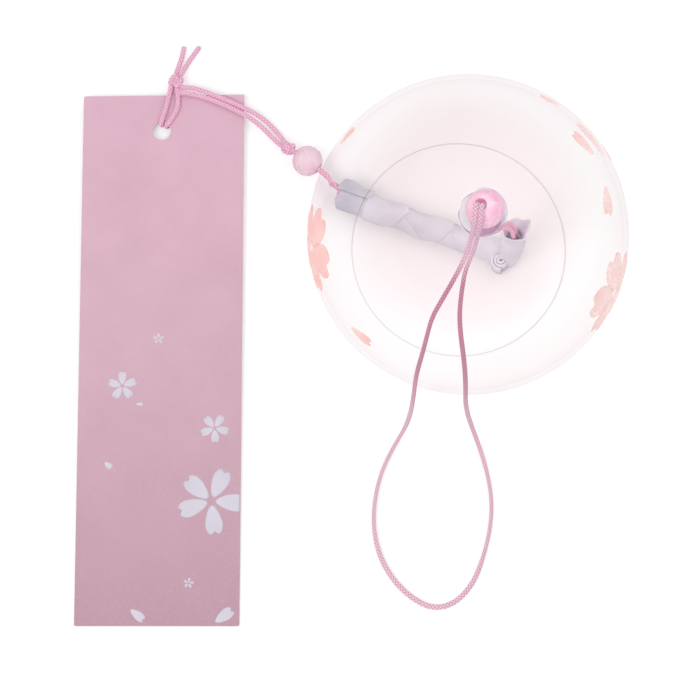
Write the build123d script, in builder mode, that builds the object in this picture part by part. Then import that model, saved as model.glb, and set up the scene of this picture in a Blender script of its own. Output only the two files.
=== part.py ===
from build123d import *
from math import asin, atan2, cos, pi, radians, sin, sqrt, tan
import os

# Furin wind bell, lying on a table as it was set down: the glass bell stands on its mouth and leans
# on its wrapped clapper, the hanging loop falls over the glass and the paper card lies beside it.
# Millimetres. +Z is up and the table is Z = 0. The origin is the middle of the table area it covers.

os.makedirs("parts", exist_ok=True)

# Glass bell, measured out from its own axis and up from the plane of its mouth
mouth_radius = 27.3
mouth_inner_radius = 26.1
rim_round = 0.3
belly_radius = 39.6
belly_height = 26.5
belly_wall = 1.3
neck_height = 62.5
crown_wall = 1.4
hole_radius = 3.4
hole_round = 0.3
collar_radius = 5.6
collar_rise = 2.1
collar_round = 0.8
collar_foot_round = 0.7
mouth_x = 27.87
mouth_y = 26.37
lean_azimuth = -27.0

# Cord, the same braid everywhere and doubled nearly everywhere
cord_diameter = 1.2
strand_spacing = 1.32
stacked_spacing = 1.5
cord_clearance = 0.12
knot_bite = 0.4

# Beads threaded on the cord
top_bead_radius = 4.6
lower_bead_radius = 3.9
bead_bore_radius = 1.5
bead_bore_round = 0.35

# Top bead on the collar, and the washer and knot under the crown that carry the bell
bead_seat_gap = 0.08
top_bead_tilt = 20.0
top_bead_tilt_azimuth = 168.0
bore_recess = 0.3
washer_radius = 5.3
washer_hole_radius = 2.2
washer_thickness = 1.6
washer_round = 0.35
washer_gap = 0.06
stopper_knot_radius = 2.9
stopper_knot_length = 4.2

# Clapper: a glass tube on the cord, still rolled in its soft paper wrap
wrap_diameter = 6.6
wrap_thickness = 0.55
rim_clearance = 0.15
wrap_mouth_x = -2.9
wrap_mouth_y = 40.8
wrap_corner_x = 42.0
wrap_corner_y = 24.4
sleeve_top_x = 42.3
sleeve_top_y = 27.6
sleeve_top_z = 20.5
elbow_radius = 4.3
tube_radius = 2.7
tube_bore_radius = 1.7
tube_length = 38.0
tube_inset = 4.2
tube_round = 0.4
clapper_knot_radius = 2.1
clapper_knot_length = 3.0
clapper_knot_gap = 0.05

# Where the cord from the crown hands over to the cord in the clapper, inside the turned-up sleeve
handover_x = 42.24
handover_y = 26.95
handover_z = 17.0
handover_gap = 0.05
sleeve_bend_z = 11.0
turning_gap = 0.2

# Lower bead, and the knot beyond it that keeps it from the card
lower_bead_x = -10.9
lower_bead_y = 50.2
lower_bead_azimuth = 143.3
floor_gap = 0.02
bore_lead = 0.5
bead_knot_radius = 1.45
bead_knot_length = 2.9
bead_knot_x = -16.6
bead_knot_y = 54.4
bead_knot_z = 2.3
bead_knot_azimuth = 143.0
bead_knot_fall = 30.0

# Paper card: its foot edge lies on the table and its head is held up by the cord behind it
card_width = 42.1
card_length = 137.9
card_thickness = 0.45
card_corner_round = 0.4
card_foot_x = -49.25
card_foot_y = -69.17
card_turn = -0.25
card_hole_radius = 2.3
card_hole_inset = 9.6
card_hole_offset = -0.43
card_hole_lift = 1.38

# Knot that ties the cord through the card's hole
card_knot_radius = 1.6
card_knot_length = 4.0
card_knot_x = -45.55
card_knot_y = 72.4
card_knot_z = 1.75
card_knot_azimuth = 78.0

# Outline of a tied knot, as shares of its radius and of its length
knot_end_share = 0.55
knot_waist_share = 0.78
knot_waist_place_share = 0.52
knot_bulge_place_shares = (0.27, 0.76)

# Share of the shorter run that a bend in the cord may use
bend_share = 0.45

# Routes of the cord's free stretches, chosen by eye along the photographed course
loop_route = [
    (33.57, 22.73, 75.72), (33.35, 20.7, 75.85), (33.1, 18.5, 74.3), (32.75, 17.0, 72.0),
    (32.2, 15.75, 69.5), (31.6, 14.0, 67.4), (30.4, 11.3, 66.0), (28.6, 8.0, 64.6),
    (25.0, 2.5, 61.5), (22.7, -0.9, 58.7), (21.5, -4.3, 55.3), (20.3, -7.7, 50.8),
    (18.3, -11.9, 42.0), (17.1, -16.0, 28.6), (15.8, -18.3, 17.0), (14.2, -20.0, 7.2),
    (11.2, -23.6, 0.8), (8.2, -29.4, 0.65), (6.3, -36.2, 0.65), (5.7, -43.6, 0.65),
    (7.0, -50.9, 0.65), (10.4, -57.4, 0.65), (15.2, -62.3, 0.65), (20.9, -65.2, 0.65),
    (26.4, -63.8, 0.65), (30.9, -59.0, 0.65), (33.6, -52.3, 0.65), (35.4, -45.0, 0.65),
    (35.9, -38.2, 0.65), (34.9, -31.3, 0.65), (33.1, -25.0, 0.8), (31.3, -20.3, 5.2),
    (30.2, -18.0, 14.4), (29.8, -16.3, 25.4), (30.1, -14.9, 36.2), (30.2, -12.4, 45.6),
    (29.9, -8.7, 51.9), (29.3, -4.1, 57.0), (29.2, 0.1, 60.3), (29.8, 4.4, 62.9),
    (30.6, 8.6, 64.9), (31.75, 11.3, 66.1), (32.9, 13.7, 67.5), (33.5, 15.45, 69.5),
    (34.07, 16.73, 72.0), (34.42, 18.23, 74.3), (34.67, 20.44, 75.85), (34.87, 22.46, 75.72),
]
inner_cord_route = [
    (33.7, 22.9, 51.9), (34.6, 23.6, 44.6), (37.9, 25.5, 37.9), (41.1, 26.8, 31.4), (42.24, 26.95, 24.2),
]
clapper_cord_route = [(30.92, 28.46, 3.1), (17.77, 33.26, 3.4), (7.43, 37.03, 3.15)]
pendant_route = [(-1.74, 41.64, 3.3), (-3.5, 44.0, 3.2)]
upper_strand_route = [
    (-18.6, 57.3, 1.2), (-21.2, 61.1, 1.7), (-25.3, 64.6, 2.65), (-30.6, 67.4, 2.75),
    (-36.4, 69.6, 2.75), (-40.3, 71.0, 2.7), (-42.7, 72.3, 2.4), (-44.6, 73.1, 2.1),
]
lower_strand_route = [
    (-19.6, 56.5, 1.1), (-22.6, 59.9, 1.7), (-26.2, 62.8, 2.65), (-31.2, 65.6, 2.75),
    (-36.6, 67.9, 2.75), (-40.6, 69.5, 2.7), (-42.8, 70.9, 2.4), (-44.5, 71.8, 2.1),
]
left_leg_route = [
    (-46.75, 71.1, 2.3), (-47.1, 69.0, 2.7), (-48.0, 65.2, 2.65), (-48.8, 62.3, 2.6),
    (-49.0, 60.6, 2.58), (-49.0, 60.6, 0.66), (-48.6, 62.4, 0.66), (-47.8, 65.9, 0.66),
    (-46.9, 69.3, 0.68), (-46.6, 71.1, 1.3),
]
right_leg_route = [
    (-45.3, 71.1, 2.3), (-44.95, 69.0, 2.75), (-44.75, 65.6, 2.65), (-46.2, 62.5, 2.62),
    (-47.75, 60.0, 2.58), (-47.75, 60.0, 0.66), (-46.9, 62.6, 0.66), (-46.1, 66.0, 0.66),
    (-45.45, 69.3, 0.68), (-45.3, 71.1, 1.3),
]
left_tail_route = [(-45.75, 74.0, 1.7), (-45.0, 76.5, 1.1), (-44.1, 79.3, 0.75), (-43.65, 82.0, 0.65)]
right_tail_route = [(-44.45, 74.0, 1.7), (-43.3, 76.4, 1.1), (-41.5, 79.3, 0.75), (-39.6, 82.0, 0.65)]

# Sizes and places that follow from the ones above
cord_radius = cord_diameter / 2
strand_shift = strand_spacing / 2
wrap_radius = wrap_diameter / 2
wrap_bore_radius = wrap_radius - wrap_thickness


def heading(azimuth, rise=0.0):
    """Unit vector at an azimuth from +X and a rise above the table, in degrees."""
    level = cos(radians(rise))
    return Vector(level * cos(radians(azimuth)), level * sin(radians(azimuth)), sin(radians(rise)))


def beside(direction):
    """Level unit vector square to a direction, on its left as seen from above."""
    return Vector(-direction.Y, direction.X, 0).normalized()


def frame_on(origin, direction):
    """Plane at a point whose Z axis runs along a direction and whose X axis is level."""
    return Plane(origin=origin, x_dir=beside(direction), z_dir=direction)


def along(frame, distance):
    return frame.origin + frame.z_dir * distance


def profile_plane(frame):
    """Plane through a frame's Z axis: local X is the radius and local Y runs along the axis."""
    return Plane(origin=frame.origin, x_dir=frame.x_dir, z_dir=frame.y_dir * -1)


def axis_of(frame):
    return Axis(frame.origin, frame.z_dir)


def save(sub_part, label):
    sub_part.part.label = label
    export_step(sub_part.part, f"parts/{label}.step")


def corner(place):
    """Corner of the sketch in work that lies nearest to a place."""
    return vertices().sort_by_distance(Vector(*place))[0]


def bend_radii(points):
    """Radius of the bend at each inner point of a route: as large as its two runs allow."""
    radii = []
    for before, here, after in zip(points, points[1:], points[2:]):
        turn = radians((here - before).get_angle(after - here))
        shorter = min((here - before).length, (after - here).length)
        radii.append(bend_share * shorter / tan(turn / 2))
    return radii


def cord_tube(label, route):
    """Round tube along straight runs joined by tangent arcs, with its own label and file."""
    points = [Vector(*point) for point in route]
    radii = bend_radii(points)
    with BuildPart() as tube:
        with BuildLine() as path:
            FilletPolyline(*points, radius=radii)
        course = path.wires()[0]
        with BuildSketch(Plane(origin=course @ 0, z_dir=course % 0)):
            Circle(cord_radius)
        sweep(path=course)
    length = course.length
    share = tube.part.volume / (pi * cord_radius**2 * length)
    bends = " ".join(f"{radius:.1f}" for radius in radii)
    print(f"{label}: length {length:.1f}, volume {share:.4f} of section times length, bends {bends}")
    save(tube, label)
    return tube


def moved(route, shift):
    return [Vector(*point) + shift for point in route]


def tied_knot(frame, radius, length):
    """Knot along its frame's Z axis: two rounded turns with a waist between them."""
    end_radius = knot_end_share * radius
    waist = (knot_waist_share * radius, knot_waist_place_share * length)
    first_bulge, second_bulge = [(radius, share * length) for share in knot_bulge_place_shares]
    with BuildPart() as knot:
        with BuildSketch(profile_plane(frame)):
            with BuildLine():
                Line((0, 0), (end_radius, 0))
                ThreePointArc((end_radius, 0), first_bulge, waist)
                ThreePointArc(waist, second_bulge, (end_radius, length))
                Line((end_radius, length), (0, length))
                Line((0, length), (0, 0))
            make_face()
        revolve(axis=axis_of(frame))
    return knot


def bored_bead(frame, radius):
    """Ball bored through along its frame's Z axis, with rounded bore mouths."""
    bore_reach = sqrt(radius**2 - bead_bore_radius**2)
    with BuildPart() as bead:
        with BuildSketch(profile_plane(frame)):
            with BuildLine():
                Line((bead_bore_radius, -bore_reach), (bead_bore_radius, bore_reach))
                ThreePointArc((bead_bore_radius, bore_reach), (radius, 0), (bead_bore_radius, -bore_reach))
            make_face()
            fillet(vertices(), bead_bore_round)
        revolve(axis=axis_of(frame))
    return bead


# Glass bell: blown shell with a ground mouth and a thick collar round its top hole. It leans on the
# clapper, so the lean follows from the clapper's wrap and the two sides of the mouth
lean_sine = (wrap_diameter + rim_clearance) / (mouth_radius + mouth_inner_radius)
lean_cosine = sqrt(1 - lean_sine**2)
mouth_lift = (mouth_radius - rim_round) * lean_sine + rim_round * (1 - lean_cosine)
bell_axis = heading(lean_azimuth) * lean_sine + Vector(0, 0, lean_cosine)
bell_frame = frame_on(Vector(mouth_x, mouth_y, mouth_lift), bell_axis)
crown_inner_height = neck_height - crown_wall
collar_height = neck_height + collar_rise

with BuildPart() as glass_bell:
    with BuildSketch(profile_plane(bell_frame)):
        with BuildLine():
            outer_belly = (belly_radius, belly_height)
            inner_belly = (belly_radius - belly_wall, belly_height)
            TangentArc(outer_belly, (mouth_radius, 0), tangent=(0, -1))
            Line((mouth_radius, 0), (mouth_inner_radius, 0))
            TangentArc(inner_belly, (mouth_inner_radius, 0), tangent=(0, -1))
            TangentArc(inner_belly, (hole_radius, crown_inner_height), tangent=(0, 1))
            Line((hole_radius, crown_inner_height), (hole_radius, collar_height))
            Line((hole_radius, collar_height), (collar_radius, collar_height))
            Line((collar_radius, collar_height), (collar_radius, neck_height))
            TangentArc(outer_belly, (collar_radius, neck_height), tangent=(0, 1))
        make_face()
        fillet(corner((mouth_radius, 0)), rim_round)
        fillet(corner((mouth_inner_radius, 0)), rim_round)
        fillet(corner((collar_radius, collar_height)), collar_round)
        fillet(corner((collar_radius, neck_height)), collar_foot_round)
        fillet(corner((hole_radius, collar_height)), hole_round)
        fillet(corner((hole_radius, crown_inner_height)), hole_round)
    revolve(axis=axis_of(bell_frame))
save(glass_bell, "glass_bell")

# Top bead: it nests in the collar's rounded edge, tipped so that the loop falls to one side
seat_reach = top_bead_radius + hole_round + bead_seat_gap
top_bead_height = collar_height - hole_round + sqrt(seat_reach**2 - (hole_radius + hole_round) ** 2)
top_bead_centre = along(bell_frame, top_bead_height)
top_bore = (bell_axis + heading(top_bead_tilt_azimuth) * tan(radians(top_bead_tilt))).normalized()
top_bead_frame = frame_on(top_bead_centre, top_bore)
save(bored_bead(top_bead_frame, top_bead_radius), "top_bead")

# Washer inside the crown: its upper edge bears on the glass all round, and the knot bears on it
inner_belly_radius = belly_radius - belly_wall
crown_rise = crown_inner_height - belly_height
crown_centre = (inner_belly_radius**2 - hole_radius**2 - crown_rise**2) / (2 * (inner_belly_radius - hole_radius))
crown_arc_radius = inner_belly_radius - crown_centre - washer_gap
washer_edge = washer_radius - washer_round
washer_top = (
    belly_height - washer_round
    + sqrt((crown_arc_radius - washer_round) ** 2 - (washer_edge - crown_centre) ** 2) + washer_round
)
washer_bottom = washer_top - washer_thickness
with BuildPart() as crown_washer:
    with BuildSketch(frame_on(along(bell_frame, washer_bottom), bell_axis)):
        Circle(washer_radius)
        Circle(washer_hole_radius, mode=Mode.SUBTRACT)
    extrude(amount=washer_thickness)
    fillet(crown_washer.edges().filter_by(GeomType.CIRCLE), washer_round)
save(crown_washer, "crown_washer")

# Stopper knot: everything that hangs on the loop is carried here
stopper_top = washer_bottom - washer_gap
stopper_bottom = stopper_top - stopper_knot_length
stopper_frame = frame_on(along(bell_frame, stopper_bottom), bell_axis)
save(tied_knot(stopper_frame, stopper_knot_radius, stopper_knot_length), "stopper_knot")

# Neck strands: from just inside the bead's upper mouth to the stopper knot
loop_side = (Vector(*loop_route[-1]) - Vector(*loop_route[0])).normalized()
neck_side = (loop_side - top_bore * loop_side.dot(top_bore)).normalized()
neck_route = [
    along(top_bead_frame, top_bead_radius - bore_recess),
    along(top_bead_frame, -top_bead_radius - bore_lead),
    along(bell_frame, stopper_top - knot_bite),
]
cord_tube("neck_strand_left", moved(neck_route, neck_side * -strand_shift))
cord_tube("neck_strand_right", moved(neck_route, neck_side * strand_shift))

# Hanging loop: out of the bead, over the glass, round on the table and back up beside itself
cord_tube("hanging_loop", loop_route)

# Clapper: the wrap lies on the table and turns up under the crown, with the glass tube inside it
wrap_mouth = Vector(wrap_mouth_x, wrap_mouth_y, wrap_radius)
wrap_corner = Vector(wrap_corner_x, wrap_corner_y, wrap_radius)
sleeve_top = Vector(sleeve_top_x, sleeve_top_y, sleeve_top_z)
clapper_axis = (wrap_corner - wrap_mouth).normalized()
clapper_side = beside(clapper_axis)
clapper_frame = frame_on(wrap_mouth, clapper_axis)
with BuildPart() as clapper_wrap:
    with BuildLine() as wrap_path:
        FilletPolyline(wrap_mouth, wrap_corner, sleeve_top, radius=elbow_radius)
    with BuildSketch(clapper_frame):
        Circle(wrap_radius)
        Circle(wrap_bore_radius, mode=Mode.SUBTRACT)
    sweep()
save(clapper_wrap, "clapper_wrap")

tube_start = along(clapper_frame, tube_inset)
with BuildPart() as clapper_tube:
    with BuildSketch(frame_on(tube_start, clapper_axis)):
        Circle(tube_radius)
        Circle(tube_bore_radius, mode=Mode.SUBTRACT)
    extrude(amount=tube_length)
    fillet(clapper_tube.edges().filter_by(GeomType.CIRCLE), tube_round)
save(clapper_tube, "clapper_tube")

clapper_knot_end = tube_inset - clapper_knot_gap
clapper_knot_frame = frame_on(along(clapper_frame, clapper_knot_end - clapper_knot_length), clapper_axis)
save(tied_knot(clapper_knot_frame, clapper_knot_radius, clapper_knot_length), "clapper_knot")

# Inner strands hang from the stopper knot, clapper strands carry on from them inside the sleeve
handover = Vector(handover_x, handover_y, handover_z)
handover_lift = Vector(0, 0, handover_gap / 2)
inner_route = (
    [along(bell_frame, stopper_bottom + knot_bite)]
    + [Vector(*point) for point in inner_cord_route]
    + [handover + handover_lift]
)
clapper_route = [
    handover - handover_lift,
    Vector(handover_x, handover_y, sleeve_bend_z),
    wrap_corner,
    *[Vector(*point) for point in clapper_cord_route],
    along(clapper_frame, clapper_knot_end - knot_bite),
]
cord_tube("inner_strand_left", moved(inner_route, clapper_side * strand_shift))
cord_tube("inner_strand_right", moved(inner_route, clapper_side * -strand_shift))
cord_tube("clapper_strand_left", moved(clapper_route, clapper_side * strand_shift))
cord_tube("clapper_strand_right", moved(clapper_route, clapper_side * -strand_shift))

# Lower bead on the table, and the knot of both strands just beyond it
bead_course = heading(lower_bead_azimuth)
lower_bead_centre = Vector(lower_bead_x, lower_bead_y, lower_bead_radius + floor_gap)
lower_bead_frame = frame_on(lower_bead_centre, bead_course)
save(bored_bead(lower_bead_frame, lower_bead_radius), "lower_bead")

knot_course = heading(bead_knot_azimuth, -bead_knot_fall)
bead_knot_centre = Vector(bead_knot_x, bead_knot_y, bead_knot_z)
bead_knot_frame = frame_on(bead_knot_centre - knot_course * (bead_knot_length / 2), knot_course)
save(tied_knot(bead_knot_frame, bead_knot_radius, bead_knot_length), "bead_knot")

# Pendant strands: one above the other out of the wrap, through the lower bead and into its knot
stacked_shift = Vector(0, 0, stacked_spacing / 2)
knot_rise = Vector(0, 0, 1) - knot_course * knot_course.Z
pendant_middle = [
    *[Vector(*point) for point in pendant_route],
    along(lower_bead_frame, -lower_bead_radius - bore_lead),
    along(lower_bead_frame, lower_bead_radius + bore_lead / 2),
]
for label, side in (("pendant_strand_upper", 1), ("pendant_strand_lower", -1)):
    knot_entry = along(bead_knot_frame, knot_bite) + knot_rise.normalized() * (side * strand_shift)
    cord_tube(label, moved(pendant_middle, stacked_shift * side) + [knot_entry])

# Card strands, side by side from the bead knot, over the card's head and into the card knot
knot_side = beside(knot_course)
bead_knot_exit = along(bead_knot_frame, bead_knot_length - knot_bite)
cord_tube("card_strand_upper", [bead_knot_exit - knot_side * strand_shift, *upper_strand_route])
cord_tube("card_strand_lower", [bead_knot_exit + knot_side * strand_shift, *lower_strand_route])

# Card knot with its two legs through the card's hole and its two cut tails
card_knot_course = heading(card_knot_azimuth)
card_knot_centre = Vector(card_knot_x, card_knot_y, card_knot_z)
card_knot_frame = frame_on(card_knot_centre - card_knot_course * (card_knot_length / 2), card_knot_course)
save(tied_knot(card_knot_frame, card_knot_radius, card_knot_length), "card_knot")
cord_tube("card_leg_left", left_leg_route)
cord_tube("card_leg_right", right_leg_route)
cord_tube("card_tail_left", left_tail_route)
cord_tube("card_tail_right", right_tail_route)

# Paper card: flat strip with one hole, propped at its head by the cord's back strands
hole_reach = card_length - card_hole_inset
card_rise = asin(card_hole_lift / hole_reach)
card_across = heading(card_turn)
card_up = beside(card_across) * cos(card_rise) + Vector(0, 0, sin(card_rise))
card_frame = Plane(
    origin=(card_foot_x, card_foot_y, 0), x_dir=card_across, z_dir=card_across.cross(card_up)
)
with BuildPart() as paper_card:
    with BuildSketch(card_frame):
        with Locations((0, card_length / 2)):
            RectangleRounded(card_width, card_length, card_corner_round)
        with Locations((card_hole_offset, hole_reach)):
            Circle(card_hole_radius, mode=Mode.SUBTRACT)
    extrude(amount=card_thickness)
save(paper_card, "paper_card")
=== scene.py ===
from math import pi, radians

import bmesh
import bpy
import numpy as np
from mathutils import Matrix, Vector


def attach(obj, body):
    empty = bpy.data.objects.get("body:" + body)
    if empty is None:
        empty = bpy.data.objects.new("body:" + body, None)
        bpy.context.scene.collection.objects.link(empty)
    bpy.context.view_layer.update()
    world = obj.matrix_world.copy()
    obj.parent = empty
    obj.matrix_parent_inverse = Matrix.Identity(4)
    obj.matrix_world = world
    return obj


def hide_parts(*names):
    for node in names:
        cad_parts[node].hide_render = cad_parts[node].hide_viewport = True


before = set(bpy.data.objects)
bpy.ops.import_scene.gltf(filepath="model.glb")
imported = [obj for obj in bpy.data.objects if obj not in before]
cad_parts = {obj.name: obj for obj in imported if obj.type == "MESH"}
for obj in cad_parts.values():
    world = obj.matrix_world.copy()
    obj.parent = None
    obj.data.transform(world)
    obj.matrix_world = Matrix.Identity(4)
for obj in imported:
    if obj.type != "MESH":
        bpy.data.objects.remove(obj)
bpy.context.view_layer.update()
mm = 0.001
weldDistance = 1e-7
print("frame loaded")

# View of the photograph: an almost overhead camera with a long lens

photoView = {
    "place": (0.0420965, -0.1122763, 0.6894396),
    "right": (0.99812786, 0.0, -0.0611618),
    "up": (0.00991925, 0.98676111, 0.16187687),
    "back": (0.06035209, -0.16218049, 0.98491376),
    "sensorWidth": 36.0,
    "lens": 140.35,
    "clip": (0.01, 20.0),
}


def addObject(name, data):
    piece = bpy.data.objects.new(name, data)
    bpy.context.collection.objects.link(piece)
    return piece


def makeCamera(settings):
    data = bpy.data.cameras.new("photoCamera")
    data.sensor_fit = "HORIZONTAL"
    data.sensor_width = settings["sensorWidth"]
    data.lens = settings["lens"]
    data.clip_start, data.clip_end = settings["clip"]
    camera = addObject("photoCamera", data)
    turn = Matrix((settings["right"], settings["up"], settings["back"])).transposed()
    camera.matrix_world = Matrix.Translation(settings["place"]) @ turn.to_4x4()
    bpy.context.scene.camera = camera


makeCamera(photoView)
print("camera placed")

# Mesh helpers


def unit(vectors):
    # each vector divided by its own length
    return vectors / np.linalg.norm(vectors, axis=-1, keepdims=True)


def smooth(x, low, high):
    # 0 below low, 1 above high, with the cubic 3t^2 - 2t^3 between them
    t = np.clip((x - low) / (high - low), 0.0, 1.0)
    return t * t * (3 - 2 * t)


def arcLength(line):
    # running sum of the distances from point to point, from 0
    return np.concatenate([[0.0], np.cumsum(np.linalg.norm(np.diff(line, axis=0), axis=1))])


def joined(*values):
    # values that broadcast against each other, side by side
    return np.stack(np.broadcast_arrays(*values), axis=-1)


def placeIn(place, across, upright, along):
    # origin + across x + upright y + along z, from millimetres to metres
    turn = np.array([place["x"], place["y"], place["z"]])
    return (np.array(place["origin"]) + joined(across, upright, along) @ turn) * mm


def roundIn(place, radius, angle, along):
    # the same with the first two given by radius and angle
    return placeIn(place, radius * np.cos(angle), radius * np.sin(angle), along)


def frameAlong(origin, direction):
    # z along the direction, x square to it and to a helper, y closing the three
    z = unit(np.array(direction, dtype=float))
    x = unit(np.cross(np.array((0.3, 0.9, 0.3)), z))
    return {"origin": tuple(origin), "x": tuple(x), "y": tuple(np.cross(z, x)), "z": tuple(z)}


def bezier(first, second, third, fourth, count=9):
    # cubic with Bernstein weights
    t = np.linspace(0.0, 1.0, count)[:, None]
    a, b, c, d = (np.array(spot) for spot in (first, second, third, fourth))
    return a * (1 - t) ** 3 + 3 * b * t * (1 - t) ** 2 + 3 * c * t ** 2 * (1 - t) + d * t ** 3


def ringsRound(line, side, lift, width, height, angle):
    # one ring at each point: line + side * width * cos(a) + lift * height * sin(a)
    sideways = side[:, None] * (width * np.cos(angle))[..., None]
    return line[:, None] + sideways + lift[:, None] * (height * np.sin(angle))[..., None]


def withEnds(grid, first, last):
    # one more row before and after the grid, each drawn in to a single point
    rows = [np.broadcast_to(end, grid[:1].shape) for end in (first, last)]
    return np.concatenate([rows[0], grid, rows[1]])


def folded(out, back):
    # along the first, back along the second and closed
    return np.concatenate([out, back[::-1], out[:1]])


def gridMesh(name, sheets, body, material, replaced=()):
    # each sheet is a grid of points with a grid of UVs: neighbours in the grid make one quad
    points, faces, coords, start = [], [], [], 0
    for grid, uv in sheets:
        rows, columns = grid.shape[:2]
        index = np.arange(rows * columns).reshape(rows, columns) + start
        quads = np.stack([index[:-1, :-1], index[1:, :-1], index[1:, 1:], index[:-1, 1:]], axis=-1)
        points.append(grid.reshape(-1, 3))
        faces.append(quads.reshape(-1, 4))
        coords.append(uv.reshape(-1, 2))
        start += rows * columns
    points, faces, coords = (np.concatenate(part) for part in (points, faces, coords))
    mesh = bpy.data.meshes.new(name)
    mesh.from_pydata(points.tolist(), [], faces.tolist())
    layer = mesh.uv_layers.new(name="UVMap")
    corners = np.empty(len(mesh.loops), dtype=np.int32)
    mesh.loops.foreach_get("vertex_index", corners)
    layer.data.foreach_set("uv", coords[corners].astype(np.float32).ravel())
    work = bmesh.new()
    work.from_mesh(mesh)
    bmesh.ops.remove_doubles(work, verts=work.verts, dist=weldDistance)
    bmesh.ops.recalc_face_normals(work, faces=work.faces)
    work.to_mesh(mesh)
    work.free()
    mesh.shade_smooth()
    mesh.materials.append(material)
    piece = addObject(name, mesh)
    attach(piece, body)
    if replaced:
        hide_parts(*replaced)
    return piece


def cordLine(route):
    # points on the NURBS spline of order 3 whose control points are the route
    data = bpy.data.curves.new("cordLine", "CURVE")
    data.dimensions = "3D"
    data.resolution_u = 16
    spline = data.splines.new("NURBS")
    spline.points.add(len(route) - 1)
    for place, point in zip(route, spline.points):
        point.co = (*(mm * value for value in place), 1.0)
    spline.order_u = 3
    spline.use_endpoint_u = True
    holder = bpy.data.objects.new("cordLine", data)
    line = bpy.data.meshes.new_from_object(holder)
    points = np.empty(len(line.vertices) * 3)
    line.vertices.foreach_get("co", points)
    bpy.data.meshes.remove(line)
    bpy.data.objects.remove(holder)
    bpy.data.curves.remove(data)
    return points.reshape(-1, 3)


def evenLine(line, step):
    # the line walked at equal steps, by linear interpolation over its arc length
    run = arcLength(line)
    at = np.linspace(0.0, run[-1], max(8, int(run[-1] / step)) + 1)
    return np.stack([np.interp(at, run, line[:, k]) for k in range(3)], axis=1), at


def sweptGrid(line, at, upward, radii, columns):
    # rings round the line with side = tangent x upward and lift = side x tangent, ends drawn in to points
    tangent = unit(np.gradient(line, axis=0))
    side = unit(np.cross(tangent, upward))
    angle = np.linspace(0.0, 2 * pi, columns + 1)
    width, height = radii(at[:, None], angle[None, :])
    rings = ringsRound(line, side, np.cross(side, tangent), width, height, angle)
    along = withEnds(at[:, None], at[0], at[-1])
    return withEnds(rings, line[0], line[-1]), joined(angle / (2 * pi), along)


# Shader helpers


class nodeValue:
    # the value at a socket: each sum, product or power of it is one more Math node in its tree
    def __init__(self, socket):
        self.socket, self.tree = socket, socket.id_data

    def math(self, operation, *others):
        node = self.tree.nodes.new("ShaderNodeMath")
        node.operation = operation
        for slot, value in zip(node.inputs, (self, *others)):
            feed(slot, value)
        return nodeValue(node.outputs[0])

    def __add__(self, other):
        return self.math("ADD", other)

    def __sub__(self, other):
        return self.math("SUBTRACT", other)

    def __rsub__(self, other):
        return self * -1.0 + other

    def __mul__(self, other):
        return self.math("MULTIPLY", other)

    def __pow__(self, other):
        return self.math("POWER", other)

    def __abs__(self):
        return self.math("ABSOLUTE")

    def clamped(self):
        # kept from 0 to 1, by the last node
        self.socket.node.use_clamp = True
        return self

    def mix(self, first, second):
        # the first colour at 0, the second at 1
        node = self.tree.nodes.new("ShaderNodeMix")
        node.data_type = "RGBA"
        for slot, value in ((0, self), (6, first), (7, second)):
            feed(node.inputs[slot], value)
        return nodeValue(node.outputs[2])


def feed(slot, value):
    # a node's value is linked to the slot, anything else is written into it
    if isinstance(value, nodeValue):
        slot.id_data.links.new(value.socket, slot)
    else:
        slot.default_value = value


def feedNode(node, **values):
    # inputs by label, with _ for each space in it
    for label, value in values.items():
        feed(node.inputs[label.replace("_", " ")], value)
    return node


def addNode(tree, kind, **values):
    return feedNode(tree.nodes.new("ShaderNode" + kind), **values)


def read(node, label=0):
    return nodeValue(node.outputs[label])


def axes(node, label):
    # x, y and z of a vector that the node puts out
    return [nodeValue(socket) for socket in addNode(node.id_data, "SeparateXYZ", Vector=read(node, label)).outputs]


def mapRange(value, span):
    # linear and held at its ends, span being from low, from high, to low, to high
    labels = ("From_Min", "From_Max", "To_Min", "To_Max")
    return read(addNode(value.tree, "MapRange", Value=value, **dict(zip(labels, span))))


def color(red, green, blue):
    # screen values from 0 to 255 as scene-linear red, green, blue
    screen = np.array([red, green, blue]) / 255
    linear = np.where(screen <= 0.04045, screen / 12.92, ((screen + 0.055) / 1.055) ** 2.4)
    return (*linear.tolist(), 1.0)


# Floor, backdrop light and lamps

white = (1.0, 1.0, 1.0, 1.0)
studio = {
    "floorSize": 3.0,
    "floorDrop": 0.0001,
    "skyStrength": 0.62,
    "floorColor": (0.72, 0.72, 0.72, 1.0),
    "floorShare": 0.23,
    "floorFar": (0.2, 1.1, 0.42, 0.62),
    "shineRise": (0.0, 0.55, -0.05, 0.38),
    "mirrorLevel": 0.34,
    "keyLamp": {"place": (-0.45, -0.35, 0.9), "size": 0.55, "power": 3.3},
    "fillLamp": {"place": (0.55, 0.35, 0.8), "size": 0.6, "power": 1.6},
}


def emptyTree(owner):
    owner.use_nodes = True
    owner.node_tree.nodes.clear()
    return owner.node_tree


def makeSky(settings):
    # white sky: full where the camera sees it, straight or through glass, and weaker as light;
    # its mirror image is brighter higher up
    world = bpy.data.worlds.new("studioSky")
    bpy.context.scene.world = world
    tree = emptyTree(world)
    path = addNode(tree, "LightPath")
    through, glossy = read(path, "Is Transmission Ray"), read(path, "Is Glossy Ray")
    early = read(path, "Diffuse Depth").math("LESS_THAN", 0.5)  # only before the first matt surface
    seen = early * through + read(path, "Is Camera Ray")
    rise = mapRange(axes(addNode(tree, "TexCoord"), "Generated")[2], settings["shineRise"])
    mirror = (glossy - through).clamped() * settings["mirrorLevel"]
    shine = glossy * mirror.math("MAXIMUM", rise)
    strength = seen * (1 - settings["skyStrength"]) + shine + settings["skyStrength"]
    sky = addNode(tree, "Background", Color=white, Strength=strength)
    addNode(tree, "OutputWorld", Surface=read(sky))


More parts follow.
